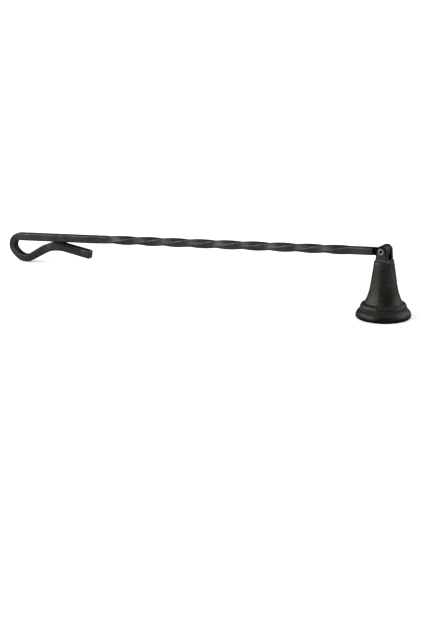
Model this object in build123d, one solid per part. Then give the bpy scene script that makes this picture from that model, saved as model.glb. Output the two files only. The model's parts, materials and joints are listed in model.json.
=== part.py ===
from build123d import *
import math
import os

# A hinged candle snuffer. A cast bell swings on a hollow rivet at one end of a square iron bar. The bar is
# twisted along its middle, and its other end is bent round into an eye to hang it by.
# Millimetres. The origin is the centre of the bell's mouth. +Z is up, and the handle runs towards -X.
# It is drawn standing on a table: on the bell's rim, and on the lowest point of the eye.

# Foot of the bell: a rounded rim under two quarter-round mouldings
rim_radius = 17.7
rim_belly_height = 1.3        # height of the widest circle above the table
rim_undercut = 1.0            # how far the flat standing face stops short of the widest circle
lower_moulding_round = 5.0
lower_moulding_step = 2.7     # from the widest circle in to the upper moulding's wall
upper_moulding_riser = 0.9    # height of that wall, between the two roundings
upper_moulding_round = 3.2
upper_moulding_step = 2.8     # from that wall in to the foot of the flare

# Bell above the mouldings
waist_radius = 8.75           # the flare ends here and a straight cone goes on
waist_height = 20.8
shoulder_radius = 6.6
shoulder_height = 36.9
shoulder_round = 1.4

# Hollow of the bell
rim_wall = 2.5                # from the mouth out to the widest circle
mouth_land = 2.5              # depth of the straight wall at the mouth
bell_wall = 2.2
crown_thickness = 3.4
crown_rise = 2.0              # how far the domed end of the hollow rises

# Two ears on the bell that hold the rivet
hinge_rise = 6.27             # rivet above the bell's top
ear_radius = 3.75
ear_foot_half_width = 4.25
ear_root = 0.9                # how far the ears are sunk into the bell's top
ear_set_back = 1.9            # outer faces of the ears, inside the shoulder's radius
ear_outer_round = 1.0
ear_foot_fillet = 0.7
slot_width = 3.4
slot_floor_rise = 0.5         # the slot stops this far above the bell's top

# Hollow rivet
rivet_radius = 1.6
rivet_bore_radius = 1.1
rivet_head_radius = 1.95
rivet_head_height = 0.6
rivet_head_round = 0.42
ear_hole_clearance = 0.03
tongue_hole_clearance = 0.06

# Square bar
bar_side = 5.0
bar_corner_round = 1.0
rivet_above_bar = 0.6         # the rivet is this far above the middle of the bar
bar_end_from_rivet = 6.8
bar_end_chamfer = 0.5
near_plain_length = 19.0
quarter_turn_length = 20.3
quarter_turns = 9
far_plain_length = 72.3

# Tongue of the bar, between the ears
tongue_side_gap = 0.6
tongue_root = 2.0             # how far the tongue is sunk into the bar
knuckle_radius = 3.7
tongue_inner_round = 1.5
tongue_edge_round = 0.3

# Eye at the far end: a tight crook, a wider belly that rests on the table, and a tail that comes back
# to the bar and bends away from it again
crook_radius = 6.16
crook_angle = 134.3
crook_straight = 1.8
belly_radius = 9.72
belly_angle = 73.1
back_bend_radius = 29.7
tail_spread_angle = 12.2      # between the tail and the bar
tail_length = 20.2
tail_end_round = 0.8
tail_gap = 0.5                # between the bar and the tail where they come closest

overrun = 1.0                 # how far cutting tools pass the faces that they cut

# Places that follow from the sizes
mouth_radius = rim_radius - rim_wall
upper_moulding_radius = rim_radius - lower_moulding_step
flare_foot_radius = upper_moulding_radius - upper_moulding_step
hinge_height = shoulder_height + hinge_rise
ears_width = 2 * (shoulder_radius - ear_set_back)
slot_floor_height = shoulder_height + slot_floor_rise
rivet_hole_radius = rivet_radius + ear_hole_clearance
tongue_hole_radius = rivet_radius + tongue_hole_clearance
tongue_thickness = slot_width - 2 * tongue_side_gap
twist_length = quarter_turns * quarter_turn_length
twist_start = bar_end_from_rivet + near_plain_length
twist_end = twist_start + twist_length
straight_length = twist_end + far_plain_length
belly_end_angle = crook_angle + belly_angle
half_turn = 180.0
quarter_turn = 90.0


def lower_moulding_top():
    """Height where the lower rounding meets the upper moulding's wall."""
    inset = lower_moulding_round - lower_moulding_step
    return rim_belly_height + math.sqrt(lower_moulding_round ** 2 - inset ** 2)


def flare_foot_height():
    """Height where the upper rounding meets the flare."""
    inset = upper_moulding_round - upper_moulding_step
    rounding_foot = lower_moulding_top() + upper_moulding_riser
    return rounding_foot + math.sqrt(upper_moulding_round ** 2 - inset ** 2)


def bell_outline():
    """Outer outline of the bell as radius and height, from the table up to the axis."""
    rim_round = (rim_undercut ** 2 + rim_belly_height ** 2) / (2 * rim_undercut)
    valley = (upper_moulding_radius, lower_moulding_top())
    riser_top = (upper_moulding_radius, lower_moulding_top() + upper_moulding_riser)
    flare_foot = (flare_foot_radius, flare_foot_height())
    waist = (waist_radius, waist_height)
    cone_top = (shoulder_radius, shoulder_height - shoulder_round)

    table = Line((0, 0), (rim_radius - rim_undercut, 0))
    rim = RadiusArc(table @ 1, (rim_radius, rim_belly_height), -rim_round)
    lower = RadiusArc(rim @ 1, valley, -lower_moulding_round)
    riser = Line(valley, riser_top)
    upper = RadiusArc(riser_top, flare_foot, -upper_moulding_round)
    cone = Line(cone_top, waist)
    flare = TangentArc(waist, flare_foot, tangent=cone % 1)
    shoulder_end = (shoulder_radius - shoulder_round, shoulder_height)
    shoulder = RadiusArc(cone_top, shoulder_end, -shoulder_round)
    top = Line(shoulder_end, (0, shoulder_height))
    axis = Line((0, shoulder_height), (0, 0))
    return table + rim + lower + riser + upper + flare + cone + shoulder + top + axis


def hollow_outline():
    """Outline of the bell's hollow, which opens downwards past the table."""
    side_top_height = shoulder_height - crown_thickness - crown_rise
    side_top = (shoulder_radius - bell_wall, side_top_height)
    waist = (waist_radius - bell_wall, waist_height)
    flare_foot = (flare_foot_radius - bell_wall, flare_foot_height())
    land_top = (mouth_radius, mouth_land)
    crown = (0, side_top_height + crown_rise)
    crown_radius = (side_top[0] ** 2 + crown_rise ** 2) / (2 * crown_rise)

    floor = Line((0, -overrun), (mouth_radius, -overrun))
    land = Line((mouth_radius, -overrun), land_top)
    side = Line(side_top, waist)
    flare = TangentArc(waist, flare_foot, tangent=side % 1)
    foot = TangentArc(flare_foot, land_top, tangent=flare % 1)
    dome = RadiusArc(side_top, crown, -crown_radius)
    axis = Line(crown, (0, -overrun))
    return floor + land + foot + flare + side + dome + axis


def turned(outline):
    """Solid of revolution about the bell's axis."""
    return revolve(Plane.XZ * make_face(outline), Axis.Z)


def across(radius, length):
    """Cylinder along the rivet's axis, centred between the ears."""
    return Pos(0, 0, hinge_height) * Rot(quarter_turn, 0, 0) * Cylinder(radius, length)


def ears():
    """Both ears as one block: a round head on the rivet's axis that widens to its foot."""
    foot_height = shoulder_height - ear_root
    rise = hinge_height - foot_height
    reach = math.hypot(ear_foot_half_width, rise)
    touch = math.acos(ear_radius / reach) - math.atan2(rise, ear_foot_half_width)
    touch_x = ear_radius * math.cos(touch)
    touch_height = hinge_height + ear_radius * math.sin(touch)

    foot = Line((-ear_foot_half_width, foot_height), (ear_foot_half_width, foot_height))
    right = Line((ear_foot_half_width, foot_height), (touch_x, touch_height))
    head = ThreePointArc(
        (touch_x, touch_height), (0, hinge_height + ear_radius), (-touch_x, touch_height))
    left = Line((-touch_x, touch_height), (-ear_foot_half_width, foot_height))
    block = extrude(Plane.XZ * make_face(foot + right + head + left), ears_width / 2, both=True)
    outer_edges = ShapeList()
    for face in block.faces().filter_by(Axis.Y):
        outer_edges += face.edges().sort_by(Axis.Z)[1:]
    return fillet(outer_edges, ear_outer_round)


def snuffer_bell():
    """The casting: bell, mouldings and ears, with its hollow, slot and rivet holes."""
    bell = turned(bell_outline())
    ear_block = ears()
    casting = bell + ear_block
    ear_feet = new_edges(bell, ear_block, combined=casting).filter_by(is_ear_foot)
    casting = fillet(ear_feet, ear_foot_fillet)

    slot_height = hinge_height + ear_radius + overrun - slot_floor_height
    slot = Pos(0, 0, slot_floor_height) * Box(
        2 * shoulder_radius, slot_width, slot_height, align=(Align.CENTER, Align.CENTER, Align.MIN))
    holes = across(rivet_hole_radius, ears_width + 2 * overrun)
    return casting - slot - turned(hollow_outline()) - holes


def is_ear_foot(edge):
    """True for the seam where the ears stand on the bell's top."""
    return edge.geom_type != GeomType.CIRCLE and edge.bounding_box().max.Z < shoulder_height + ear_root / 2


def hinge_rivet():
    """Tube through both ears, with a rolled head against each outer face."""
    shank = Cylinder(rivet_radius, ears_width)
    bore = Cylinder(rivet_bore_radius, ears_width + 2 * rivet_head_height + 2 * overrun)
    head = Cylinder(rivet_head_radius, rivet_head_height, align=(Align.CENTER, Align.CENTER, Align.MIN))
    top_head = Pos(0, 0, ears_width / 2) * head
    tube = shank + top_head + mirror(top_head, Plane.XY) - bore
    end_edges = tube.faces().sort_by(Axis.Z)[0].edges() + tube.faces().sort_by(Axis.Z)[-1].edges()
    tube = fillet(end_edges, rivet_head_round)
    return Pos(0, 0, hinge_height) * Rot(quarter_turn, 0, 0) * tube


def belly_centre():
    """Centre of the eye's belly, as distance along the bar and depth below the rivet."""
    step = math.cos(math.radians(crook_angle))
    drop = math.sin(math.radians(crook_angle))
    away = straight_length + crook_radius * drop + crook_straight * step - belly_radius * drop
    below = rivet_above_bar + crook_radius * (1 - step) + crook_straight * drop + belly_radius * step
    return away, below


def rest_droop():
    """Angle of the bar below level when both the bell's rim and the eye's belly stand on the table."""
    away, below = belly_centre()
    reach = hinge_height - belly_radius - bar_side / 2
    return math.degrees(math.asin(reach / math.hypot(away, below)) - math.atan2(below, away))


def return_length():
    """Straight stretch after the belly that brings the tail up to the bar."""
    _, centre_below = belly_centre()
    step = math.cos(math.radians(belly_end_angle))
    climb = -math.sin(math.radians(belly_end_angle))
    belly_end = centre_below - belly_radius * step
    bend_rise = back_bend_radius * (1 + step)
    nearest = rivet_above_bar + bar_side + tail_gap
    return (belly_end - bend_rise - nearest) / climb


def bar_section(place):
    """Rounded square across the bar."""
    return place * RectangleRounded(bar_side, bar_side, bar_corner_round)


def go_on(line, length):
    """Straight line that carries on from the end of another."""
    return Line(line @ 1, line @ 1 + (line % 1) * length)


def bend(line, radius, angle):
    """Arc that carries on from the end of another line."""
    return JernArc(line @ 1, line % 1, radius, angle)


def eye_path():
    """Centre line of the plain far end, the eye and its tail, in the bar's own plane."""
    plain = Line((-twist_end, -rivet_above_bar), (-straight_length, -rivet_above_bar))
    crook = bend(plain, crook_radius, crook_angle)
    crook_end = go_on(crook, crook_straight)
    belly = bend(crook_end, belly_radius, belly_angle)
    rise = go_on(belly, return_length())
    back_bend = bend(rise, back_bend_radius, half_turn - tail_spread_angle - belly_end_angle)
    tail = go_on(back_bend, tail_length)
    return plain + crook + crook_end + belly + rise + back_bend + tail


def tongue():
    """Flat tongue that ends in a round knuckle on the rivet."""
    root = bar_end_from_rivet + tongue_root
    strip = Pos(-root / 2, -rivet_above_bar) * Rectangle(root, bar_side)
    outline = strip + Circle(knuckle_radius)
    inner_corners = outline.vertices().filter_by(lambda corner: -bar_end_from_rivet < corner.X)
    outline = fillet(inner_corners, tongue_inner_round)
    plate = extrude(Plane.XZ * outline, tongue_thickness / 2, both=True)
    side_edges = ShapeList()
    for face in plate.faces().filter_by(Axis.Y):
        side_edges += face.edges()
    plate = fillet(side_edges, tongue_edge_round)
    return plate - Rot(quarter_turn, 0, 0) * Cylinder(tongue_hole_radius, slot_width)


def handle_bar():
    """The forged bar: tongue, twisted shank and eye, laid at its rest angle."""
    across_bar = Vector(0, 1, 0)
    near_start = Vector(-bar_end_from_rivet, 0, -rivet_above_bar)
    near = extrude(bar_section(Plane(near_start, x_dir=across_bar, z_dir=(-1, 0, 0))), near_plain_length)
    near = chamfer(near.faces().sort_by(Axis.X)[-1].edges(), bar_end_chamfer)

    twist_place = Plane((-twist_start, 0, -rivet_above_bar), x_dir=across_bar, z_dir=(-1, 0, 0))
    twist = Solid.extrude_linear_with_rotation(
        bar_section(twist_place).face(), twist_place.origin, (-twist_length, 0, 0),
        -quarter_turn * quarter_turns)

    path = Plane.XZ * eye_path()
    far = sweep(bar_section(Plane(path @ 0, x_dir=across_bar, z_dir=path % 0)), path)
    tail_face = far.faces().sort_by(lambda face: (face.center() - path @ 1).length)[0]
    far = fillet(tail_face.edges(), tail_end_round)
    bar = near + [twist, far, tongue()]
    return Pos(0, 0, hinge_height) * Rot(0, -rest_droop(), 0) * bar


os.makedirs("parts", exist_ok=True)
export_step(handle_bar(), "parts/handle_bar.step")
export_step(snuffer_bell(), "parts/snuffer_bell.step")
export_step(hinge_rivet(), "parts/hinge_rivet.step")
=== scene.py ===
"""Candle snuffer: a small iron bell that swings on a hollow rivet at the end of a twisted square bar.

The packed CAD model is the fixed frame. The bar, tongue, bell, ears and rivet are worked out here as fine
surfaces that stand for its nodes. Metres, with +Z up and the handle towards -X.
"""

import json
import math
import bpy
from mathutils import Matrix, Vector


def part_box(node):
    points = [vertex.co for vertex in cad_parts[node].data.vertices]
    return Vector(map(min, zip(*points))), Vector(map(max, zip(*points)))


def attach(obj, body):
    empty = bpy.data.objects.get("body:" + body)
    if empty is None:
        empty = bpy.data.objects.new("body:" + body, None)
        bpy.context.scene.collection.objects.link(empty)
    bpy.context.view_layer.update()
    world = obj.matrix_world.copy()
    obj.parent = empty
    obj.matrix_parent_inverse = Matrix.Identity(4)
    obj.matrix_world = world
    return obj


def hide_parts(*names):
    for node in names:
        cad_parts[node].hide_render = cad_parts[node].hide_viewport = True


bl_info = {
    "name": "Candle snuffer",
    "version": (1, 0, 0),
    "blender": (4, 5, 0),
    "location": "3D View > Sidebar > Snuffer",
    "description": "Builds a candle snuffer with a hinged bell and a twisted iron handle",
    "category": "Add Mesh",
}

import bpy
import numpy as np
from mathutils import Vector

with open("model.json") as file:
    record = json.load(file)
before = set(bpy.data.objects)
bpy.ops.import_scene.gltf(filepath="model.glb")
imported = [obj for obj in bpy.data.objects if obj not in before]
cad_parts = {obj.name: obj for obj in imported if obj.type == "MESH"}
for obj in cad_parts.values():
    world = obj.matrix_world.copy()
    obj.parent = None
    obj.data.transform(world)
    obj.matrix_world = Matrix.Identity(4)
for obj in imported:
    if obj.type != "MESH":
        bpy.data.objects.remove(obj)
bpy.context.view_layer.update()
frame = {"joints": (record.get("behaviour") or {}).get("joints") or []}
bell_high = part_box("snuffer_bell")[1]
hinge = frame["joints"][0]["pos_m"]
MM = 0.001

# Steps at which curves are worked out, and the wider steps at which their points are kept
CURVE_STEP = 0.1 * MM
BEND_STEP = 0.02 * MM
OUTLINE_STEP = 0.24 * MM
BAR_STEP = 0.36 * MM

# How many points go round each surface
BELL_COLUMNS = 128
PLATE_COLUMNS = 120
RIVET_COLUMNS = 64

# Depth of the slight waves on the casting and on the rivet's heads
CASTING_WAVER = 0.05 * MM
RIVET_WAVER = 0.025 * MM

# Places and sizes in the studio, in metres and degrees
FLOOR_REACH = 6.0
FLOOR_LEVEL = -0.02 * MM
OVERHEAD_BACK, OVERHEAD_HEIGHT = 0.3, 2.4
OVERHEAD_SIZE = (4.2, 4.2)
LEFT_BEARING, RIGHT_BEARING = -55.0, 140.0
SIDE_RISE = 26.0
SIDE_DISTANCE = 2.6
SIDE_SIZE = (3.6, 1.8)


def length(name, millimetres, description):
    """A size that a user may change, given here in millimetres and kept in metres."""
    return bpy.props.FloatProperty(
        name=name, description=description, default=millimetres * MM, unit="LENGTH", precision=5)


def angle(name, degrees, description):
    """An angle that a user may change, given here in degrees and kept in radians."""
    return bpy.props.FloatProperty(
        name=name, description=description, default=math.radians(degrees), unit="ROTATION")


def colour(name, value, description):
    """A linear colour that a user may change."""
    return bpy.props.FloatVectorProperty(
        name=name, description=description, default=value, size=3, min=0.0, max=1.0, subtype="COLOR")


class SnufferBar(bpy.types.PropertyGroup):
    """Square bar of the handle, from the hinge to the end of its hanging eye."""

    side: length("Side", 5.0, "Side of the square bar")
    corner: length("Corner", 1.0, "Rounding along the bar's four edges")
    below_rivet: length("Below rivet", 0.6, "The middle of the bar is this far below the rivet")
    end: length("End", 6.8, "From the rivet to the bar's near end")
    end_round: length("End rounding", 0.5, "Rounding of the near end's edges")
    near_plain: length("Near plain", 19.0, "Plain length before the twist")
    twist: length("Twist", 182.7, "Length of the twist")
    far_plain: length("Far plain", 72.3, "Plain length after the twist")
    quarter_turns: bpy.props.IntProperty(
        name="Quarter turns", description="Quarter turns of the twist, left-handed", default=9, min=0)
    droop: angle("Droop", 5.2637, "How far the bar leans down from level as it stands on the table")
    crook_radius: length("Crook radius", 6.16, "Tight bend at the far end")
    crook_turn: angle("Crook turn", 134.3, "Angle of the tight bend")
    crook_straight: length("Crook straight", 1.8, "Straight stretch after the tight bend")
    belly_radius: length("Belly radius", 9.72, "Wider bend that rests on the table")
    belly_turn: angle("Belly turn", 73.1, "Angle of the wider bend")
    rise: length("Rise", 10.342, "Straight stretch that brings the tail up to the bar")
    back_radius: length("Back bend radius", 29.7, "Bend that turns the tail away from the bar")
    tail_spread: angle("Tail spread", 12.2, "Angle between the tail and the bar")
    tail: length("Tail", 20.2, "Straight end of the tail")
    tail_round: length("Tail rounding", 0.8, "Rounding of the tail's end")
    unevenness: length("Unevenness", 0.05, "Depth of the shallow hollows left by forging")
    tail_swell: length("Tail swell", 0.85, "How much the forged tail is thickened on its underside")
    plain_swell: length("Plain swell", 0.25, "How much the far plain stretch is thickened on its underside")


class SnufferTongue(bpy.types.PropertyGroup):
    """Flat tongue that joins the bar to the rivet, between the ears."""

    thickness: length("Thickness", 2.2, "Thickness of the tongue")
    knuckle: length("Knuckle", 3.7, "Radius of the round end")
    root: length("Root", 2.0, "How far the tongue is sunk into the bar")
    edge: length("Edge", 0.3, "Rounding of its edges")
    hole: length("Hole", 1.66, "Radius of the rivet's hole")


class SnufferBell(bpy.types.PropertyGroup):
    """Cast bell: a straight cone, a flare, two mouldings and a rim."""

    rim: bpy.props.FloatProperty(
        name="Rim", description="Radius of the widest circle", default=bell_high[0], unit="LENGTH",
        precision=5)
    rim_height: length("Rim height", 1.3, "Height of the widest circle")
    rim_undercut: length("Rim undercut", 1.0, "The standing face stops this far inside the widest circle")
    lower_round: length("Lower moulding", 5.0, "Radius of the lower moulding's rounding")
    lower_step: length("Lower step", 2.7, "From the widest circle in to the upper moulding's wall")
    riser: length("Riser", 0.9, "Height of the upper moulding's wall")
    upper_round: length("Upper moulding", 3.2, "Radius of the upper moulding's rounding")
    upper_step: length("Upper step", 2.8, "From that wall in to the foot of the flare")
    waist: length("Waist", 8.75, "Radius where the flare meets the cone")
    waist_height: length("Waist height", 20.8, "Height where the flare meets the cone")
    shoulder: length("Shoulder", 6.6, "Radius at the top of the cone")
    top: length("Top", 36.9, "Height of the bell without its ears")
    shoulder_round: length("Shoulder rounding", 1.4, "Rounding at the top of the cone")
    rim_wall: length("Rim wall", 2.5, "From the mouth out to the widest circle")
    land: length("Land", 2.5, "Depth of the straight wall at the mouth")
    wall: length("Wall", 2.2, "Thickness of the bell's side")
    crown: length("Crown", 3.4, "Thickness of metal above the hollow")
    crown_rise: length("Crown rise", 2.0, "Height of the hollow's domed end")
    softness: length("Softness", 0.16, "How far the mould has softened the corners of the outline")


class SnufferEars(bpy.types.PropertyGroup):
    """Two ears that stand on the bell and hold the rivet."""

    head: length("Head", 3.74, "Radius of the round head")
    foot_half: length("Foot half width", 4.25, "Half the width at the foot")
    root: length("Root", 0.9, "How far the ears are sunk into the bell")
    outer: length("Outer face", 4.7, "From the middle of the slot to an ear's outer face")
    inner: length("Inner face", 1.7, "From the middle of the slot to an ear's inner face")
    outer_round: length("Outer rounding", 1.0, "Rounding round the outer face")
    foot_fillet: length("Foot fillet", 0.7, "Fillet where the ears stand on the bell")
    floor_rise: length("Slot floor", 0.5, "Height of the slot's floor above the bell's top")
    hole: length("Hole", 1.63, "Radius of the rivet's hole")


class SnufferRivet(bpy.types.PropertyGroup):
    """Hollow rivet with rolled heads."""

    shank: length("Shank", 1.6, "Radius of the tube")
    bore: length("Bore", 1.1, "Radius of the hole along it")
    head: length("Head", 1.95, "Radius of the rolled heads")
    head_height: length("Head height", 0.6, "How far the heads stand proud of the ears")


class SnufferFinish(bpy.types.PropertyGroup):
    """Colours of the finishes."""

    coat: colour("Coat", (0.0165, 0.0165, 0.0150), "Black coat where it is thick")
    coat_thin: colour("Thin coat", (0.0330, 0.0330, 0.0295), "Black coat where it is thin")
    worn: colour("Worn edge", (0.052, 0.051, 0.046), "Metal that shows through along worn edges")
    # Painted shade: near black laid into recesses, between parts and under the rim, where shade falls
    painted_shade: colour("Painted shade", (0.004, 0.004, 0.004), "Dead black left in the recesses and under the rim")
    steel: colour("Steel", (0.17, 0.167, 0.158), "Bare metal of the rivet")
    steel_dark: colour("Dark steel", (0.08, 0.078, 0.072), "Tarnish in the rivet's hollows")
    floor: colour("Floor", (0.82, 0.82, 0.82), "Pale studio floor")


class SnufferStudio(bpy.types.PropertyGroup):
    """Camera and lights of the studio."""

    azimuth: angle("Azimuth", 31.23, "How far the camera stands to the right of straight in front")
    elevation: angle("Elevation", 15.58, "How far the camera looks down")
    distance: bpy.props.FloatProperty(
        name="Distance", description="From the camera to the point it looks at", default=1.7519,
        unit="LENGTH")
    aim: bpy.props.FloatVectorProperty(
        name="Aim", description="Point that the camera looks at", default=(-0.12783, 0.0001, -0.01767),
        size=3, subtype="TRANSLATION", precision=5)
    lens: bpy.props.FloatProperty(
        name="Lens", description="Focal length in millimetres", default=151.86, unit="CAMERA")
    overhead: bpy.props.FloatProperty(
        name="Overhead", description="Radiance of the light above", default=1.1, min=0.0)
    left: bpy.props.FloatProperty(
        name="Left", description="Radiance of the light in front on the left", default=8.0, min=0.0)
    right: bpy.props.FloatProperty(
        name="Right", description="Radiance of the light on the right", default=5.0, min=0.0)
    room: bpy.props.FloatProperty(
        name="Room", description="Radiance of the dim room all round", default=0.15, min=0.0)


GROUPS = {
    "snuffer_bar": SnufferBar,
    "snuffer_tongue": SnufferTongue,
    "snuffer_bell": SnufferBell,
    "snuffer_ears": SnufferEars,
    "snuffer_rivet": SnufferRivet,
    "snuffer_finish": SnufferFinish,
    "snuffer_studio": SnufferStudio,
}


class Shade:
    """A shader socket on which Python's sums add Math nodes."""

    def __init__(self, tree, socket):
        self.tree = tree
        self.socket = socket

    def sum(self, operation, first, second):
        return self.tree.node("ShaderNodeMath", {"operation": operation}, {0: first, 1: second})

    def __add__(self, other):
        return self.sum("ADD", self, other)

    def __radd__(self, other):
        return self.sum("ADD", other, self)

    def __sub__(self, other):
        return self.sum("SUBTRACT", self, other)

    def __rsub__(self, other):
        return self.sum("SUBTRACT", other, self)

    def __rmul__(self, other):
        return self.sum("MULTIPLY", other, self)


class Tree:
    """Node tree of a new material or of the world."""

    def __init__(self, owner):
        owner.use_nodes = True
        self.nodes = owner.node_tree.nodes
        self.links = owner.node_tree.links
        self.nodes.clear()

    def node(self, kind, settings, sockets, output=0):
        """Adds a node, sets it up, feeds its sockets with values or links, and gives one output."""
        made = self.nodes.new(kind)
        for name, value in settings.items():
            setattr(made, name, value)
        for name, value in sockets.items():
            if isinstance(value, Shade):
                self.links.new(value.socket, made.inputs[name])
            else:
                made.inputs[name].default_value = value
        return Shade(self, made.outputs[output]) if made.outputs else None

    def noise(self, place, scale, detail, roughness=0.55):
        """Cloudy noise of that many waves per metre."""
        return self.node(
            "ShaderNodeTexNoise", {},
            {"Vector": place, "Scale": scale, "Detail": detail, "Roughness": roughness})

    def step(self, value, low, high):
        """Smooth step from 0 at low to 1 at high."""
        return self.node(
            "ShaderNodeMapRange", {"interpolation_type": "SMOOTHSTEP"},
            {"Value": value, "From Min": low, "From Max": high})

    def mix(self, share, first, second):
        """Colour between the first and the second."""
        return self.node(
            "ShaderNodeMix", {"data_type": "RGBA"}, {0: share, 6: first, 7: second}, 2)

    def bump(self, height, distance):
        """Normal of a surface roughened by that height, at most that far in metres."""
        return self.node(
            "ShaderNodeBump", {}, {"Strength": 1.0, "Distance": distance, "Height": height}, "Normal")


def rgba(tint):
    """A property's colour with full alpha."""
    return (*tint, 1.0)


def black_coat(name, finish, mottle_scale, grain_scale, roughness):
    """Satin black coat over iron: mottled, with fine grain, rubbed thin along the edges, and darkened towards
    black as painted shade where its shade attribute says so."""
    material = bpy.data.materials.new(name)
    tree = Tree(material)
    place = tree.node("ShaderNodeTexCoord", {}, {}, "Object")
    edge = tree.node("ShaderNodeAttribute", {"attribute_name": "edge"}, {}, "Fac")
    # Mask of painted shade, laid on the meshes in recesses, between parts and under the rim
    painted_shade = tree.node("ShaderNodeAttribute", {"attribute_name": "painted_shade"}, {}, "Fac")
    cloud = tree.noise(place, scale=95.0, detail=3.0)
    mottle = tree.noise(place, scale=mottle_scale, detail=5.0, roughness=0.62)
    grain = tree.noise(place, scale=grain_scale, detail=3.0)
    thin = tree.step(0.45 * cloud + 0.55 * mottle, low=0.42, high=0.62)
    wear = tree.step(edge + 0.9 * mottle + 0.4 * cloud, low=1.45, high=1.85)
    coat = tree.mix(thin, rgba(finish.coat), rgba(finish.coat_thin))
    coat = tree.mix(wear, coat, rgba(finish.worn))
    # Painted shade: the coat is darkened to near black where the shade mask says
    coat = tree.mix(painted_shade, coat, rgba(finish.painted_shade))
    bump = tree.bump(mottle + 0.35 * grain, 0.05 * MM)
    shader = tree.node("ShaderNodeBsdfPrincipled", {}, {
        "Base Color": coat,
        "Roughness": roughness + 0.22 * mottle - 0.06 * wear,
        "Metallic": 0.85,
        "Specular IOR Level": 0.1,
        "Specular Tint": (0.5, 0.5, 0.5, 1.0),
        "Normal": bump,
    })
    tree.node("ShaderNodeOutputMaterial", {}, {"Surface": shader})
    return material


def worn_steel(name, finish):
    """Bare steel of the rolled rivet, bright where it is rubbed and dark in its hollows."""
    material = bpy.data.materials.new(name)
    tree = Tree(material)
    place = tree.node("ShaderNodeTexCoord", {}, {}, "Object")
    edge = tree.node("ShaderNodeAttribute", {"attribute_name": "edge"}, {}, "Fac")
    mottle = tree.noise(place, scale=1500.0, detail=4.0)
    bright = tree.step(edge + 0.5 * mottle, low=0.35, high=0.95)
    bump = tree.bump(mottle, 0.02 * MM)
    shader = tree.node("ShaderNodeBsdfPrincipled", {}, {
        "Base Color": tree.mix(bright, rgba(finish.steel_dark), rgba(finish.steel)),
        "Roughness": 0.62 - 0.12 * bright,
        "Metallic": 0.9,
        "Normal": bump,
    })
    tree.node("ShaderNodeOutputMaterial", {}, {"Surface": shader})
    return material


def pale_floor(name, finish):
    """Matt studio floor."""
    material = bpy.data.materials.new(name)
    tree = Tree(material)
    shader = tree.node("ShaderNodeBsdfPrincipled", {}, {
        "Base Color": rgba(finish.floor),
        "Roughness": 0.9,
        "Specular IOR Level": 0.1,
    })
    tree.node("ShaderNodeOutputMaterial", {}, {"Surface": shader})
    return material


def surface(name, points, ring, marks):
    """Mesh of a grid of points whose columns wrap round.

    A ring's rows wrap round too. Otherwise the first and last rows are closed by a fan to their own middle.
    Marks are numbers for each point, kept as attributes. Faces are turned outwards by the sign of the volume
    that they enclose.
    """
    rows, columns = points.shape[:2]
    row, column = np.mgrid[0:(rows if ring else rows - 1), 0:columns]
    after, beside = (row + 1) % rows, (column + 1) % columns
    quads = np.stack([
        row * columns + column, row * columns + beside,
        after * columns + beside, after * columns + column], -1).reshape(-1, 4)
    ends = np.stack([row, row, row + 1, row + 1], -1) / rows
    sides = np.stack([column, column + 1, column + 1, column], -1) / columns
    uv = np.stack([ends, sides], -1).reshape(-1, 2)
    corners = points.reshape(-1, 3)
    marks = {key: np.asarray(value, float).reshape(-1) for key, value in marks.items()}
    fans = np.zeros((0, 3), int)
    if not ring:
        corners = np.vstack([corners, points[0].mean(0), points[-1].mean(0)])
        marks = {
            key: np.append(value, [value[:columns].mean(), value[-columns:].mean()])
            for key, value in marks.items()}
        near, far = np.arange(columns), (rows - 1) * columns + np.arange(columns)
        first = np.full(columns, rows * columns)
        fans = np.vstack([
            np.stack([np.roll(near, -1), near, first], -1),
            np.stack([far, np.roll(far, -1), first + 1], -1)])
        turn = np.arange(columns) / columns
        tips = [
            np.stack([turn + 1 / columns, turn, turn + 0.5 / columns], -1),
            np.stack([turn, turn + 1 / columns, turn + 0.5 / columns], -1)]
        fan_uv = [
            np.stack([np.full((columns, 3), end), tip], -1).reshape(-1, 2)
            for end, tip in zip((0.0, 1.0), tips)]
        uv = np.vstack([uv, *fan_uv])
    a, b, c, d = (corners[quads[:, k]] for k in range(4))
    volume = (a * (np.cross(b, c) + np.cross(c, d))).sum()
    if volume < 0:
        quads, fans = quads[:, ::-1], fans[:, ::-1]
        split = len(quads) * 4
        uv = np.vstack([
            uv[:split].reshape(-1, 4, 2)[:, ::-1].reshape(-1, 2),
            uv[split:].reshape(-1, 3, 2)[:, ::-1].reshape(-1, 2)])
    mesh = bpy.data.meshes.new(name)
    mesh.from_pydata(corners.tolist(), [], quads.tolist() + fans.tolist())
    mesh.polygons.foreach_set("use_smooth", np.ones(len(quads) + len(fans), bool))
    mesh.uv_layers.new(name="UVMap").data.foreach_set("uv", uv.ravel())
    for key, value in marks.items():
        mesh.attributes.new(key, "FLOAT", "POINT").data.foreach_set("value", value)
    mesh.update()
    return mesh


def add_piece(name, mesh, material, body, node):
    """Puts a finished mesh in the scene, on its body, in place of its CAD node."""
    piece = bpy.data.objects.new(name, mesh)
    bpy.context.scene.collection.objects.link(piece)
    mesh.materials.append(material)
    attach(piece, body)
    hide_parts(node)


def finish_material(name, make):
    """A finish is made once and shared by the pieces that have it."""
    return bpy.data.materials.get(name) or make(name)


def ramp(value, start, reach):
    """0 up to the start, then growing evenly to 1 over the reach."""
    return np.clip((value - start) / reach, 0, 1)


def line(start, end):
    """Points on a straight line, without its end."""
    start, end = np.array(start, float), np.array(end, float)
    count = max(2, math.ceil(np.linalg.norm(end - start) / CURVE_STEP))
    return start + (end - start) * (np.arange(count) / count)[:, None]


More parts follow.
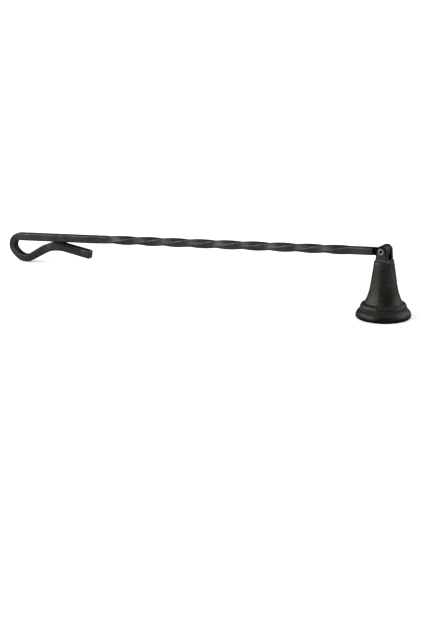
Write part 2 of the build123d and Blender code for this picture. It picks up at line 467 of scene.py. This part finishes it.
def arc(start, end, turn):
    """Points on an arc that turns left by that angle, without its end.

    The chord from the start to a point is the whole chord times sin(share of half the turn) / sin(half the
    turn), and it leans from the whole chord by half the turn times the share that is left.
    """
    start, end = np.array(start, float), np.array(end, float)
    chord = end - start
    across = np.array([-chord[1], chord[0]])
    half = turn / 2
    count = max(3, math.ceil(np.linalg.norm(chord) / CURVE_STEP))
    share = (np.arange(count) / count)[:, None]
    lean = half * (share - 1)
    return start + np.sin(half * share) / np.sin(half) * (np.cos(lean) * chord + np.sin(lean) * across)


def arc_by_radius(start, end, radius):
    """Arc of that radius. A negative radius turns right."""
    chord = math.dist(start, end)
    return arc(start, end, 2 * math.asin(chord / (2 * radius)))


def heading(start, end):
    """Direction from one point to another."""
    return math.atan2(end[1] - start[1], end[0] - start[0])


def arc_by_heading(start, end, leaving):
    """Arc that leaves its start with that heading, and the heading it ends with."""
    chord = heading(start, end)
    return arc(start, end, 2 * (chord - leaving)), 2 * chord - leaving


def softened(outline, reach):
    """Outline spaced evenly by its length, each point averaged with its neighbours under a bell curve of that
    reach. It is worked out finely and then thinned to the outline's step. Its two ends stay."""
    thinning = 8
    gaps = np.linalg.norm(np.diff(outline, axis=0), axis=1)
    along = np.append(0.0, np.cumsum(gaps))
    fine = OUTLINE_STEP / thinning
    even = np.linspace(0, along[-1], int(along[-1] / fine) + 1)
    points = np.stack([np.interp(even, along, outline[:, k]) for k in range(2)], -1)
    reach_count = int(4 * reach / fine)
    weights = np.exp(-0.5 * (np.arange(-reach_count, reach_count + 1) * fine / reach) ** 2)
    weights /= weights.sum()
    first, last = points[0], points[-1]
    padded = np.vstack([
        2 * first - points[reach_count:0:-1], points, 2 * last - points[-2:-reach_count - 2:-1]])
    soft = np.stack([np.convolve(padded[:, k], weights, "valid") for k in range(2)], -1)
    keep = np.unique(np.append(np.arange(0, len(soft), thinning), len(soft) - 1))
    return soft[keep]


def bell_outline(bell):
    """Outline of the bell's wall as radius and height, from its top, down the outside and up the hollow."""
    upper_wall = bell.rim - bell.lower_step
    lower_inset = bell.lower_round - bell.lower_step
    valley_height = bell.rim_height + math.sqrt(bell.lower_round ** 2 - lower_inset ** 2)
    upper_inset = bell.upper_round - bell.upper_step
    upper_foot = valley_height + bell.riser
    flare_height = upper_foot + math.sqrt(bell.upper_round ** 2 - upper_inset ** 2)
    flare_foot = (upper_wall - bell.upper_step, flare_height)
    rim_round = (bell.rim_undercut ** 2 + bell.rim_height ** 2) / (2 * bell.rim_undercut)

    shoulder_start = (bell.shoulder - bell.shoulder_round, bell.top)
    cone_top = (bell.shoulder, bell.top - bell.shoulder_round)
    waist = (bell.waist, bell.waist_height)
    rim = (bell.rim, bell.rim_height)
    stand = (bell.rim - bell.rim_undercut, 0.0)
    flare, _ = arc_by_heading(waist, flare_foot, heading(cone_top, waist))
    outside = [
        line((0.0, bell.top), shoulder_start),
        arc_by_radius(shoulder_start, cone_top, -bell.shoulder_round),
        line(cone_top, waist),
        flare,
        arc_by_radius(flare_foot, (upper_wall, upper_foot), -bell.upper_round),
        line((upper_wall, upper_foot), (upper_wall, valley_height)),
        arc_by_radius((upper_wall, valley_height), rim, -bell.lower_round),
        arc_by_radius(rim, stand, -rim_round),
        line(stand, (bell.rim - bell.rim_wall, 0.0)),
    ]

    side_top = (bell.shoulder - bell.wall, bell.top - bell.crown - bell.crown_rise)
    inner_waist = (bell.waist - bell.wall, bell.waist_height)
    inner_foot = (flare_foot[0] - bell.wall, flare_height)
    land_top = (bell.rim - bell.rim_wall, bell.land)
    crown_top = (0.0, side_top[1] + bell.crown_rise)
    crown_radius = (side_top[0] ** 2 + bell.crown_rise ** 2) / (2 * bell.crown_rise)
    inner_flare, foot_heading = arc_by_heading(inner_waist, inner_foot, heading(side_top, inner_waist))
    inner_spread, _ = arc_by_heading(inner_foot, land_top, foot_heading)
    hollow = [
        arc_by_radius(crown_top, side_top, -crown_radius),
        line(side_top, inner_waist),
        inner_flare,
        inner_spread,
        line(land_top, (bell.rim - bell.rim_wall, 0.0)),
        [(bell.rim - bell.rim_wall, 0.0)],
    ]
    return softened(np.vstack(outside + [np.vstack(hollow)[::-1]]), bell.softness)


def turned(outline):
    """Surface of revolution about Z. Each radius is cut back by up to the casting's waver, in slow waves
    round the axis and up it: half of it times one less a product of two cosines. It fades out near the
    axis."""
    round_axis = np.linspace(0, 2 * math.pi, BELL_COLUMNS, endpoint=False)[None, :]
    radius, height = outline[:, :1], outline[:, 1:]
    wave = np.cos(3 * round_axis + 180 * height) * np.cos(2 * round_axis - 260 * height + 1.0)
    cut = 0.5 * CASTING_WAVER * (1 - wave) * ramp(radius, 0, 4 * MM)
    out = radius - cut
    return np.stack([out * np.cos(round_axis), out * np.sin(round_axis), height + 0 * round_axis], -1)


def section_parts():
    """Fixed lists for a rounded square. Its points are half side less corner times the first, plus corner
    times the second. The second also points outwards. The third is 1 on the middle of a corner and 0 on the
    sides."""
    rise = np.linspace(0, 1, 5)[:-1]
    swing = np.linspace(0, math.pi / 2, 9)
    up = np.stack([np.ones(4), rise], -1)
    over = np.stack([rise[:0:-1], np.ones(3)], -1)
    centre = np.vstack([up, np.ones((9, 2)), over])
    corner = np.stack([np.cos(swing), np.sin(swing)], -1)
    out = np.vstack([np.tile([1.0, 0.0], (4, 1)), corner, np.tile([0.0, 1.0], (3, 1))])
    worn = np.concatenate([np.zeros(4), np.sin(2 * swing), np.zeros(3)])
    quarter = np.array([[0.0, 1.0], [-1.0, 0.0]])
    turns = [np.linalg.matrix_power(quarter, k) for k in range(4)]
    return np.vstack([centre @ t for t in turns]), np.vstack([out @ t for t in turns]), np.tile(worn, 4)


def eye_start(bar):
    """Distance along the bar at which its far end starts to bend."""
    return bar.near_plain + bar.twist + bar.far_plain


def eased(values, reach, count):
    """Values at every bend step, each averaged with that many neighbours on either side under a bell curve of
    that reach."""
    weights = np.exp(-0.5 * (np.arange(-count, count + 1) * BEND_STEP / reach) ** 2)
    return np.convolve(np.pad(values, count, "edge"), weights / weights.sum(), "valid")


def running_sum(values):
    """Running sum of values at every bend step, from 0. A step adds their mean over it times its length."""
    return np.append(0, np.cumsum((values[1:] + values[:-1]) / 2 * BEND_STEP))


def bar_line(bar):
    """Middle line of the bar: distance along it, then place and heading in the bar's own plane, and its roll.

    The curve is a list of stretches of steady bend. The bend is eased a little where stretches meet. The
    heading is its running sum, and the place is the running sum of the heading's cosine and sine. The roll
    grows evenly along the twist and eases in and out at its ends.
    """
    back_turn = math.pi - bar.tail_spread - bar.crook_turn - bar.belly_turn
    stretches = np.array([
        (eye_start(bar), 0.0),
        (bar.crook_radius * bar.crook_turn, 1 / bar.crook_radius),
        (bar.crook_straight, 0.0),
        (bar.belly_radius * bar.belly_turn, 1 / bar.belly_radius),
        (bar.rise, 0.0),
        (bar.back_radius * abs(back_turn), math.copysign(1 / bar.back_radius, back_turn)),
        (bar.tail, 0.0),
    ])
    ends = np.cumsum(stretches[:, 0])
    along = np.arange(0, ends[-1] + BEND_STEP / 2, BEND_STEP)
    stretch = np.minimum(np.searchsorted(ends, along), len(ends) - 1)
    bend = eased(stretches[stretch, 1], 0.6 * MM, 90)
    turn = math.pi + running_sum(bend)
    x = running_sum(np.cos(turn)) - bar.end
    z = running_sum(np.sin(turn)) - bar.below_rivet
    twisted = (along > bar.near_plain) & (along < bar.near_plain + bar.twist)
    rate = eased(twisted.astype(float), 1.3 * MM, 200)
    roll = np.cumsum(rate) / rate.sum() * bar.quarter_turns * math.pi / 2
    wanted = np.linspace(0, along[-1], int(along[-1] / BAR_STEP) + 1)
    return wanted, *(np.interp(wanted, along, value) for value in (x, z, turn, roll))


def at_rest_angle(bar, x, y, z):
    """Places in the bar's own frame, about the rivet, laid at the angle at which the snuffer stands."""
    sine, cosine = math.sin(bar.droop), math.cos(bar.droop)
    return np.stack([x * cosine - z * sine, y + 0 * x, x * sine + z * cosine + hinge[2]], -1)


def end_rounding(radius, count=6):
    """A quarter round as distances from the end and how far the section is drawn in there."""
    swing = np.linspace(0, math.pi / 2, count)
    return radius * (1 - np.cos(swing)), radius * (1 - np.sin(swing))


def bar_surface(bar):
    """Rounded square carried along the bar's middle line and rolled about it, left-handed.

    The section is drawn in at both ends by a quarter round. Shallow hollows are cut back along the section's
    own outward direction: a third of the unevenness for each of three slow waves along the bar and round it.
    The undersides of the far plain stretch and of the tail are let down by their swells, and their tops stay.
    """
    along, x, z, turn, roll = bar_line(bar)
    total = along[-1]
    near_along, near_inset = end_rounding(bar.end_round)
    tail_along, tail_inset = end_rounding(bar.tail_round, 8)
    inner = along[(along > bar.end_round) & (along < total - bar.tail_round)]
    half = bar.side / 2
    caps = half * np.array([0.75, 0.5, 0.32])
    place = np.concatenate([
        0 * caps, near_along, inner, total - tail_along[::-1], total + 0 * caps])
    inset = np.concatenate([caps, near_inset, 0 * inner, tail_inset[::-1], caps[::-1]])
    x, z, turn, roll = (np.interp(place, along, value)[:, None] for value in (x, z, turn, roll))
    centre, out, worn = section_parts()
    corner = np.clip(bar.corner - inset, 0.12 * MM, None)[:, None]
    flat = np.clip(half - inset, 0.2 * MM, None)[:, None] - corner
    across = flat * centre[:, 0] + corner * out[:, 0]
    above = flat * centre[:, 1] + corner * out[:, 1]
    phase = np.arctan2(out[:, 1], out[:, 0])[None, :]
    run = place[:, None] / MM
    waves = (
        np.cos(run / 2.9 + 3 * np.sin(run / 17)) * np.cos(2 * phase + run / 9)
        + np.cos(run / 4.7 + 2 * phase)
        + np.cos(run / 1.9 + phase + 2 * np.sin(run / 11)) * np.cos(3 * phase))
    cut = bar.unevenness / 6 * (3 - waves)
    across = across - cut * out[:, 0]
    above = above - cut * out[:, 1]
    rolled_across = across * np.cos(roll) - above * np.sin(roll)
    rolled_above = above * np.cos(roll) + across * np.sin(roll)
    eye = eye_start(bar)
    crook_end = eye + bar.crook_radius * bar.crook_turn
    belly_end = crook_end + bar.crook_straight + bar.belly_radius * bar.belly_turn
    tail_fade, plain_fade = 17 * MM, 9 * MM
    on_tail = ramp(place, belly_end - 4 * MM, tail_fade)[:, None]
    on_plain = ramp(place, eye - 70 * MM, plain_fade) * (1 - ramp(place, eye, plain_fade))
    on_plain = on_plain[:, None]
    rolled_above = (
        rolled_above + bar.tail_swell * on_tail * (rolled_above / half + 1) / 2
        + bar.plain_swell * on_plain * (rolled_above / half - 1) / 2)
    points = at_rest_angle(
        bar, x + np.sin(turn) * rolled_above, rolled_across, z - np.cos(turn) * rolled_above)
    edge = worn[None, :] + 0 * place[:, None]
    edge = np.maximum(edge, np.clip(inset, 0, 0.4 * MM)[:, None] / MM)
    points[..., 2] = np.maximum(points[..., 2], 0.0)

    # Painted shade lies on the eye's inner side, wider along the tail, and on the end by the hinge, where the
    # ear shades it
    eye_shade = ramp(place, eye, 5 * MM) * (1 - ramp(place, total - 14 * MM, 9 * MM))
    near_shade = 0.85 * np.exp(-(place / (1.3 * MM)) ** 2)
    tail = ramp(place, total - 34 * MM, 10 * MM)[:, None]
    inside = ramp(-rolled_above / half, 0.7 - 0.5 * tail, 0.3)
    painted_shade = np.maximum(near_shade[:, None], 0.9 * eye_shade[:, None] * inside)
    edge = edge * (1 - painted_shade)
    return points, {"edge": edge, "painted_shade": painted_shade}


def plate_loop(low, high, low_round, high_round, hole_round, dense):
    """Loop round the section of a pierced plate, as rows of share, shift, place across and lean.

    The radius at a row is the hole's plus share times the way out to the outline, plus shift. The lean is 0
    where the surface faces away from the hole's axis and a quarter turn where it faces along it.
    """
    swing = np.linspace(0, math.pi / 2, 7)
    side_on = np.linspace(0, math.pi / 2, 4)
    quarter = np.full(len(dense), math.pi / 2)
    rows = [
        np.stack([
            1 + 0 * swing, high_round * (np.cos(swing) - 1), high - high_round * (1 - np.sin(swing)),
            swing]),
        np.stack([dense[::-1], 0 * dense, high + 0 * dense, quarter]),
        np.stack([
            0 * side_on, hole_round * (1 - np.sin(side_on)), high - hole_round * (1 - np.cos(side_on)),
            math.pi / 2 + side_on]),
        np.stack([
            0 * side_on, hole_round * (1 - np.cos(side_on)), low + hole_round * (1 - np.sin(side_on)),
            math.pi - side_on]),
        np.stack([dense, 0 * dense, low + 0 * dense, -quarter]),
        np.stack([
            1 + 0 * swing, low_round * (np.sin(swing) - 1), low + low_round * (1 - np.cos(swing)),
            swing - math.pi / 2]),
    ]
    return np.hstack(rows).T


def even_directions(reach_at):
    """Directions about the rivet that space a plate's polar outline evenly along its length."""
    fine = np.linspace(0, 2 * math.pi, 4001)
    reach = reach_at(fine)
    ring = np.stack([reach * np.cos(fine), reach * np.sin(fine)], -1)
    along = np.append(0, np.cumsum(np.linalg.norm(np.diff(ring, axis=0), axis=1)))
    return np.interp(np.arange(PLATE_COLUMNS) / PLATE_COLUMNS * along[-1], along, fine)


def smooth_most(first, second, width):
    """The larger of two numbers, rounded off where they are within the width: their mean plus half the root
    of their difference squared plus the width squared."""
    return (first + second + np.sqrt((first - second) ** 2 + width ** 2)) / 2


def plate_edge(lean, share, direction):
    """1 on the middle of a plate's outer roundings and 0 on its flat sides and in its hole."""
    return np.clip(np.sin(2 * np.abs(lean)), 0, 1) * (share > 0.5) + 0 * direction


def tongue_surface(bar, tongue):
    """Pierced plate. Its polar outline is the larger of the knuckle's radius and the way out to the edges of
    the strip that joins the bar. Painted shade lies towards the bar, where the ears shade it, and on its flat
    sides."""
    back = bar.end + tongue.root
    low, high = -bar.below_rivet - bar.side / 2, -bar.below_rivet + bar.side / 2

    def reach_at(direction):
        cosine, sine = np.cos(direction), np.sin(direction)
        to_back = np.where(cosine < -1e-6, back / np.maximum(-cosine, 1e-6), 1.0)
        to_side = np.where(sine > 0, high, -low) / np.maximum(np.abs(sine), 1e-6)
        strip = np.where(cosine < 0, np.minimum(to_back, to_side), 0.0)
        return smooth_most(tongue.knuckle, strip, 0.5 * MM * (cosine < 0.2)) - 0.02 * MM

    direction = even_directions(reach_at)[None, :]
    dense = np.linspace(0.12, 0.9, 7)
    half = tongue.thickness / 2
    loop = plate_loop(-half, half, tongue.edge, tongue.edge, 0.12 * MM, dense)
    share, shift, across, lean = (loop[:, k:k + 1] for k in range(4))
    radius = tongue.hole + share * (reach_at(direction) - tongue.hole) + shift
    back_reach = -radius * np.cos(direction)
    points = at_rest_angle(bar, -back_reach, across, radius * np.sin(direction))
    sides = np.abs(np.abs(lean) - math.pi / 2) < 0.1
    # Painted shade on the flat sides between the ears and towards the bar
    painted_shade = np.maximum(ramp(back_reach, 3.2 * MM, 1.6 * MM), sides)
    return points, {"edge": plate_edge(lean, share, direction) * (1 - painted_shade), "painted_shade": painted_shade}


def ear_sides(ears, bell):
    """Depth of the ears' foot below the rivet, and the angle above level at which their straight sides touch
    the round head."""
    rise = hinge[2] - bell.top + ears.root
    touch = math.acos(ears.head / math.hypot(ears.foot_half, rise)) - math.atan2(rise, ears.foot_half)
    return rise, touch


def fillet_lean(ears, height):
    """How far the ears' foot fillet leans out at that height above the bell: its radius less the root of its
    square less the square of what is left of it above that height."""
    left = np.clip(ears.foot_fillet - height, 0, ears.foot_fillet)
    return ears.foot_fillet - np.sqrt(ears.foot_fillet ** 2 - left ** 2)


def ear_surface(ears, bell, side):
    """Pierced plate for one ear. Its polar outline is the head's radius, carried straight down from the point
    where a line from the foot's corner touches the head, and cut off level at the foot. It leans out into the
    foot fillet near the bell's top. Painted shade lies by its inner face, in the slot."""
    rise, touch = ear_sides(ears, bell)

    def reach_at(direction):
        below = np.abs(np.angle(np.exp(1j * (direction - math.pi / 2)))) - (math.pi / 2 - touch)
        straight = ears.head / np.cos(np.clip(below, 0, 1.5))
        level = rise / np.maximum(-np.sin(direction), 1e-3)
        return np.minimum(straight, level)

    direction = even_directions(reach_at)[None, :]
    dense = np.concatenate([[0.12, 0.3, 0.45, 0.58], np.linspace(0.68, 0.9, 12)])
    loop = plate_loop(ears.inner, ears.outer, 0.1 * MM, ears.outer_round, 0.1 * MM, dense)
    share, shift, across, lean = (loop[:, k:k + 1] for k in range(4))
    radius = ears.hole + share * (reach_at(direction) - ears.hole) + shift
    x = radius * np.cos(direction)
    z = radius * np.sin(direction) + hinge[2]
    flare = fillet_lean(ears, z - bell.top)
    faces_out = (lean >= 0) & (lean <= math.pi / 2 + 1e-6)
    x = x + np.where(faces_out | (lean < 0), np.cos(lean) * np.tanh(x / MM) * flare * (share > 0.5), 0)
    y = across + np.where(faces_out, np.sin(lean) * flare, 0)
    # Painted shade on the inner face, which looks into the slot
    painted_shade = 1 - ramp(across, ears.inner + 0.15 * MM, 0.35 * MM) + 0 * direction
    return np.stack([x, side * y, z], -1), {"edge": plate_edge(lean, share, direction), "painted_shade": painted_shade}


def slot_floor_surface(ears, bell):
    """Low block between the ears: a section of two fillets under a level top, carried straight across the
    slot."""
    _, touch = ear_sides(ears, bell)
    height = np.append(np.linspace(ears.floor_rise, 0.0, 8), -ears.root)
    drop = hinge[2] - bell.top - height
    half = (ears.head + drop * math.sin(touch)) / math.cos(touch) + fillet_lean(ears, height)
    section_x = np.concatenate([half, -half[::-1]])
    section_z = np.concatenate([height, height[::-1]]) + bell.top
    y = np.linspace(-ears.inner - 0.3 * MM, ears.inner + 0.3 * MM, 9)[:, None]
    points = np.stack([section_x + 0 * y, y + 0 * section_x, section_z + 0 * y], -1)
    clean = 0 * points[..., 0]
    # The slot floor is half darkened with painted shade, as it lies between the ears
    return points, {"edge": clean, "painted_shade": clean + 0.5}


def rivet_surface(rivet, ears):
    """Tube turned about the rivet's axis. Its section is a loop: up the bore, over a rolled head, down the
    shank and over the other head. Across a head the radius runs from the bore to the rim as the cosine of
    half a turn, and the height is the head's own times the sine of it to the power 0.8."""
    swing = np.linspace(0, math.pi, 17)
    middle, spread = (rivet.head + rivet.bore) / 2, (rivet.head - rivet.bore) / 2
    head_radius = middle - spread * np.cos(swing)
    head_across = ears.outer + rivet.head_height * np.sin(swing) ** 0.8
    shank = np.linspace(ears.outer - 0.02 * MM, -ears.outer + 0.02 * MM, 9)
    bore = np.linspace(-ears.outer, ears.outer, 11)[1:-1]
    radius = np.concatenate([head_radius, rivet.shank + 0 * shank, head_radius[::-1], rivet.bore + 0 * bore])
    across = np.concatenate([head_across, shank, -head_across[::-1], bore])
    bright = np.concatenate([np.sin(swing) ** 0.5, 0 * shank, np.sin(swing) ** 0.5, 0 * bore])
    turn = np.linspace(0, 2 * math.pi, RIVET_COLUMNS, endpoint=False)[None, :]
    cut = (radius / rivet.head)[:, None] * RIVET_WAVER * bright[:, None]
    radius = radius[:, None] - cut * (1 + np.cos(3 * turn + 0.6) * np.cos(2 * turn))
    points = np.stack([
        radius * np.cos(turn), across[:, None] + 0 * turn, radius * np.sin(turn) + hinge[2]], -1)
    return points, bright[:, None] + 0 * turn


class SNUFFER_OT_studio(bpy.types.Operator):
    """Pale floor, soft lights and the camera"""

    bl_idname = "snuffer.studio"
    bl_label = "Add studio"

    def execute(self, context):
        scene, studio = context.scene, context.scene.snuffer_studio
        aim = Vector(studio.aim)
        floor = bpy.data.meshes.new("floor")
        corners = ((-1, -1), (1, -1), (1, 1), (-1, 1))
        floor.from_pydata(
            [(x * FLOOR_REACH, y * FLOOR_REACH, FLOOR_LEVEL) for x, y in corners], [], [(0, 1, 2, 3)])
        floor.materials.append(pale_floor("Pale floor", scene.snuffer_finish))
        floor_object = bpy.data.objects.new("floor", floor)
        scene.collection.objects.link(floor_object)

        self.softbox(
            "overhead", studio.overhead, (aim.x, OVERHEAD_BACK, OVERHEAD_HEIGHT), aim, OVERHEAD_SIZE)
        rise = math.radians(SIDE_RISE)
        sides = (("left", studio.left, LEFT_BEARING), ("right", studio.right, RIGHT_BEARING))
        for name, radiance, bearing in sides:
            place = aim + SIDE_DISTANCE * self.outwards(math.radians(bearing), rise)
            self.softbox(name, radiance, place, aim, SIDE_SIZE)

        world = bpy.data.worlds.new("studio room")
        scene.world = world
        tree = Tree(world)
        room = tree.node("ShaderNodeBackground", {}, {"Color": (1.0, 1.0, 1.0, 1.0), "Strength": studio.room})
        tree.node("ShaderNodeOutputWorld", {}, {"Surface": room})

        lens = bpy.data.cameras.new("camera")
        lens.sensor_width = 36.0
        lens.lens = studio.lens
        lens.clip_start, lens.clip_end = 0.05, 50.0
        camera = bpy.data.objects.new("camera", lens)
        back = self.outwards(studio.azimuth, studio.elevation)
        camera.location = aim + studio.distance * back
        camera.rotation_mode = "QUATERNION"
        camera.rotation_quaternion = (-back).to_track_quat("-Z", "Y")
        scene.collection.objects.link(camera)
        scene.camera = camera
        scene.view_settings.view_transform = "Standard"
        return {"FINISHED"}

    def outwards(self, bearing, rise):
        """Direction from the object, to the right of straight in front and up by those angles."""
        return Vector((
            math.sin(bearing) * math.cos(rise), -math.cos(bearing) * math.cos(rise), math.sin(rise)))

    def softbox(self, name, radiance, place, aim, size):
        """Area light that faces the aim. Its power is radiance times area times pi."""
        light = bpy.data.lights.new(name, "AREA")
        light.shape = "RECTANGLE"
        light.size, light.size_y = size
        light.energy = radiance * size[0] * size[1] * math.pi
        lamp = bpy.data.objects.new(name, light)
        lamp.location = place
        lamp.rotation_mode = "QUATERNION"
        lamp.rotation_quaternion = (aim - Vector(place)).to_track_quat("-Z", "Y")
        lamp.visible_camera = False
        bpy.context.scene.collection.objects.link(lamp)


def bar_coat(name):
    """Black coat of the forged bar."""
    return black_coat(
        name, bpy.context.scene.snuffer_finish, mottle_scale=620.0, grain_scale=2600.0, roughness=0.32)


def casting_coat(name):
    """Black coat of the cast bell, over a grainier surface."""
    return black_coat(
        name, bpy.context.scene.snuffer_finish, mottle_scale=800.0, grain_scale=3000.0, roughness=0.33)


class SNUFFER_OT_bar(bpy.types.Operator):
    """Twisted square bar with its hanging eye"""

    bl_idname = "snuffer.bar"
    bl_label = "Add bar"

    def execute(self, context):
        points, marks = bar_surface(context.scene.snuffer_bar)
        mesh = surface("twisted_bar", points, False, marks)
        coat = finish_material("Black bar", bar_coat)
        add_piece("twisted_bar", mesh, coat, "handle", "handle_bar")
        return {"FINISHED"}


class SNUFFER_OT_tongue(bpy.types.Operator):
    """Flat tongue between the ears"""

    bl_idname = "snuffer.tongue"
    bl_label = "Add tongue"

    def execute(self, context):
        points, marks = tongue_surface(context.scene.snuffer_bar, context.scene.snuffer_tongue)
        mesh = surface("hinge_tongue", points, True, marks)
        coat = finish_material("Black bar", bar_coat)
        add_piece("hinge_tongue", mesh, coat, "handle", "handle_bar")
        return {"FINISHED"}


class SNUFFER_OT_bell(bpy.types.Operator):
    """Hollow bell with its mouldings"""

    bl_idname = "snuffer.bell"
    bl_label = "Add bell"

    def execute(self, context):
        outline = bell_outline(context.scene.snuffer_bell)
        points = turned(outline[1:-1])

        # Corners that stand out are worn; painted shade darkens the whole casting a little, more below the
        # top of the mouldings, and fully at the foot as a painted contact shadow under the rim
        bend = np.gradient(np.unwrap(np.arctan2(*np.gradient(outline, axis=0).T[::-1])))
        edge = np.clip(-bend[1:-1, None] * 2.2, 0, 1) + 0 * points[..., 0]
        height = points[..., 2]
        mouldings = 1 - ramp(height, 7.5 * MM, 3 * MM)
        foot = 1 - ramp(height, 0.6 * MM, 2.4 * MM)
        painted_shade = np.clip(0.12 + 0.2 * mouldings + foot, 0, 1)
        mesh = surface("bell", points, False, {"edge": edge * (1 - painted_shade), "painted_shade": painted_shade})
        coat = finish_material("Black casting", casting_coat)
        add_piece("bell", mesh, coat, "bell", "snuffer_bell")
        return {"FINISHED"}


class SNUFFER_OT_ears(bpy.types.Operator):
    """Two ears and the floor of the slot between them"""

    bl_idname = "snuffer.ears"
    bl_label = "Add ears"

    def execute(self, context):
        ears, bell = context.scene.snuffer_ears, context.scene.snuffer_bell
        coat = finish_material("Black casting", casting_coat)
        for name, side in {"near_ear": -1, "far_ear": 1}.items():
            points, marks = ear_surface(ears, bell, side)
            mesh = surface(name, points, True, marks)
            add_piece(name, mesh, coat, "bell", "snuffer_bell")
        points, marks = slot_floor_surface(ears, bell)
        mesh = surface("slot_floor", points, False, marks)
        add_piece("slot_floor", mesh, coat, "bell", "snuffer_bell")
        return {"FINISHED"}


class SNUFFER_OT_rivet(bpy.types.Operator):
    """Hollow rivet with rolled heads"""

    bl_idname = "snuffer.rivet"
    bl_label = "Add rivet"

    def execute(self, context):
        points, edge = rivet_surface(context.scene.snuffer_rivet, context.scene.snuffer_ears)
        mesh = surface("rivet", points, True, {"edge": edge})
        steel = worn_steel("Rivet steel", context.scene.snuffer_finish)
        add_piece("rivet", mesh, steel, "bell", "hinge_rivet")
        return {"FINISHED"}


OPERATORS = (
    SNUFFER_OT_studio, SNUFFER_OT_bar, SNUFFER_OT_tongue, SNUFFER_OT_bell, SNUFFER_OT_ears, SNUFFER_OT_rivet)


class SNUFFER_PT_sidebar(bpy.types.Panel):
    """Sizes, finishes and the buttons that build each piece"""

    bl_label = "Candle snuffer"
    bl_idname = "SNUFFER_PT_sidebar"
    bl_space_type = "VIEW_3D"
    bl_region_type = "UI"
    bl_category = "Snuffer"

    def draw(self, context):
        for operator in OPERATORS:
            self.layout.operator(operator.bl_idname)
        for name, group in GROUPS.items():
            box = self.layout.box()
            box.label(text=group.__doc__)
            for key in group.__annotations__:
                box.prop(getattr(context.scene, name), key)


CLASSES = (*GROUPS.values(), *OPERATORS, SNUFFER_PT_sidebar)


def register():
    for each in CLASSES:
        bpy.utils.register_class(each)
    for name, group in GROUPS.items():
        setattr(bpy.types.Scene, name, bpy.props.PointerProperty(type=group))


def unregister():
    for name in GROUPS:
        delattr(bpy.types.Scene, name)
    for each in reversed(CLASSES):
        bpy.utils.unregister_class(each)


def main():
    register()
    for operator in OPERATORS:
        getattr(bpy.ops.snuffer, operator.bl_idname.split(".")[1])()


if __name__ == "__main__":
    main()
